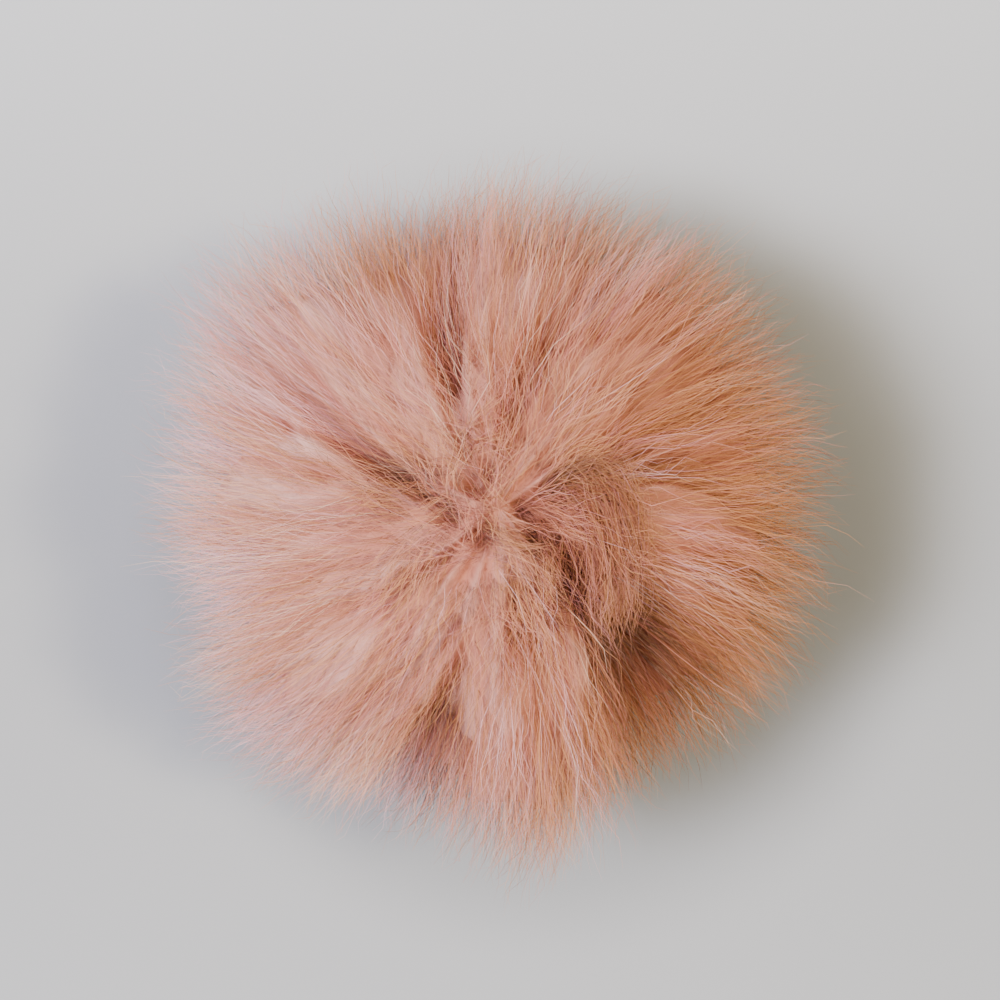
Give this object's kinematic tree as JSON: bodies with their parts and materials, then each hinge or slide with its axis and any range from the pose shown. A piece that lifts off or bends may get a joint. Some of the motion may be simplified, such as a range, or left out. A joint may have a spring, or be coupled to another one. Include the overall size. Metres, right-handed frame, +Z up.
{
  "type": "fur pompom",
  "caption": "Fluffy round pompom of gathered long-pile fur cloth, its pile in soft pointed locks that part at the crown and end level underneath, where it rests.",
  "frame": {"origin": "on the surface that the pompom rests on, under the middle of the ball, at the level end of its lowest lock", "axes": "+Z up through the crown, +X to the right and +Y to the back, as seen from above with the parting's cowlick on the right"},
  "size_m": [0.132, 0.1416, 0.0969],
  "materials": {
    "fur": "long soft pile, blush pink, paler at the tips and darker at the roots"
  },
  "bodies": {
    "root": {"pompom": "fur"}
  },
  "joints": []
}
